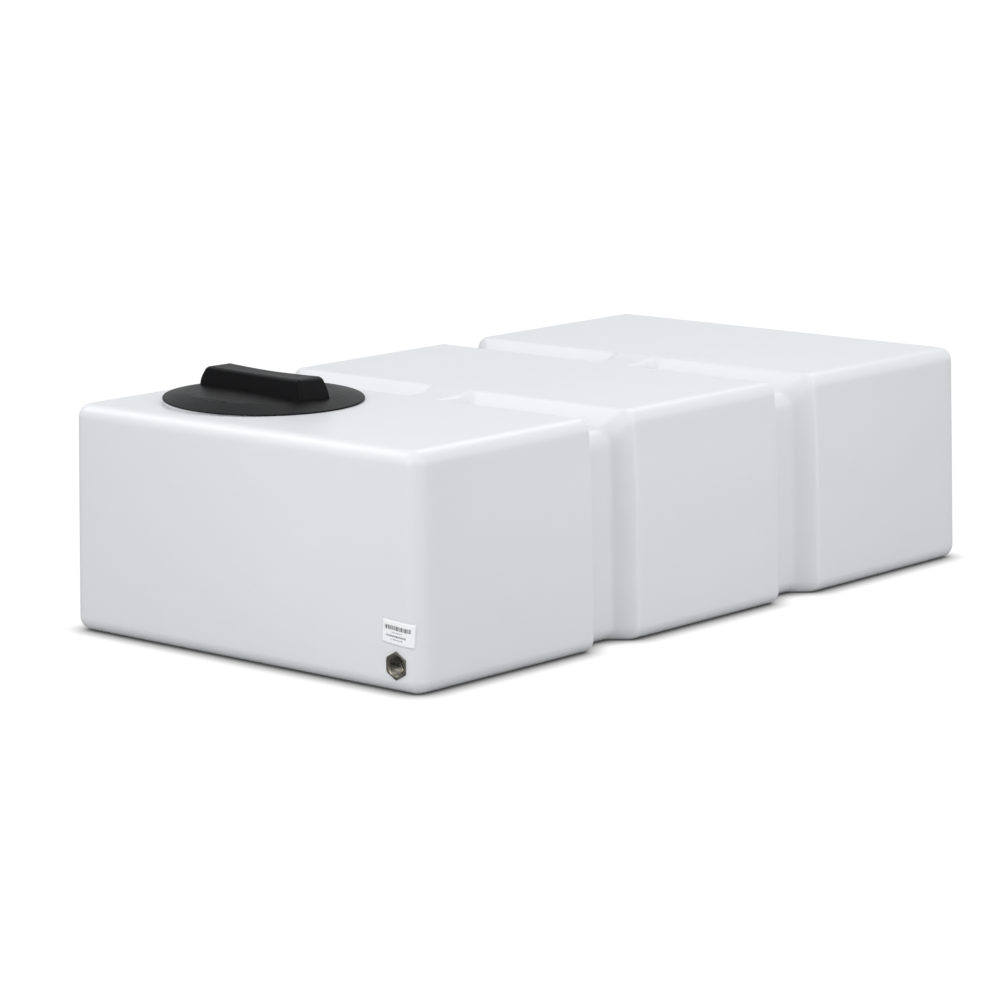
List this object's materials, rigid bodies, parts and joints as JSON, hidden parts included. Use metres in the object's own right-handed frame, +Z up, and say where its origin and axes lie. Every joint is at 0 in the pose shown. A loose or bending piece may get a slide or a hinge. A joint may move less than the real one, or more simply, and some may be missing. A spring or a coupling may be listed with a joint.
{
  "type": "fresh water tank",
  "caption": "Flat white moulded water tank with baffle grooves, a black screw lid with a bar grip, and a threaded outlet low on one end.",
  "frame": {"origin": "centre of the flat base face, on the ground plane", "axes": "+X across the width towards the outlet's side, +Y along the length away from the outlet end, +Z up"},
  "size_m": [0.6096, 1.1208, 0.334],
  "materials": {
    "tank_plastic": "natural white polyethylene, fine orange-peel satin",
    "ring_plastic": "satin black",
    "gasket_rubber": "matt black",
    "lid_plastic": "fine-textured black moulding",
    "plug_plastic": "satin black",
    "flap_rubber": "soft silicone, red-brown",
    "outlet_metal": "nickel-plated brass, machined",
    "label_film": null
  },
  "bodies": {
    "tank": {"tank_shell": "tank_plastic", "neck_ring": "ring_plastic", "outlet_insert": "outlet_metal", "label": "label_film"},
    "gasket": {"lid_gasket": "gasket_rubber"},
    "lid": {"lid": "lid_plastic", "breather_plug": "plug_plastic", "breather_flap": "flap_rubber"}
  },
  "joints": [
    {"name": "lid_rise", "type": "slide", "parent": "tank", "child": "gasket", "axis": [0, 0, 1], "range_m": [0, 0.016]},
    {"name": "lid_turn", "type": "hinge", "parent": "gasket", "child": "lid", "pos_m": [-0.124, -0.386, 0.296], "axis": [0, 0, 1], "range_deg": [0, 718]}
  ],
  "couplings": [
    {"joint": "lid_rise", "follows": "lid_turn", "m_per_rad": 0.0012732}
  ]
}
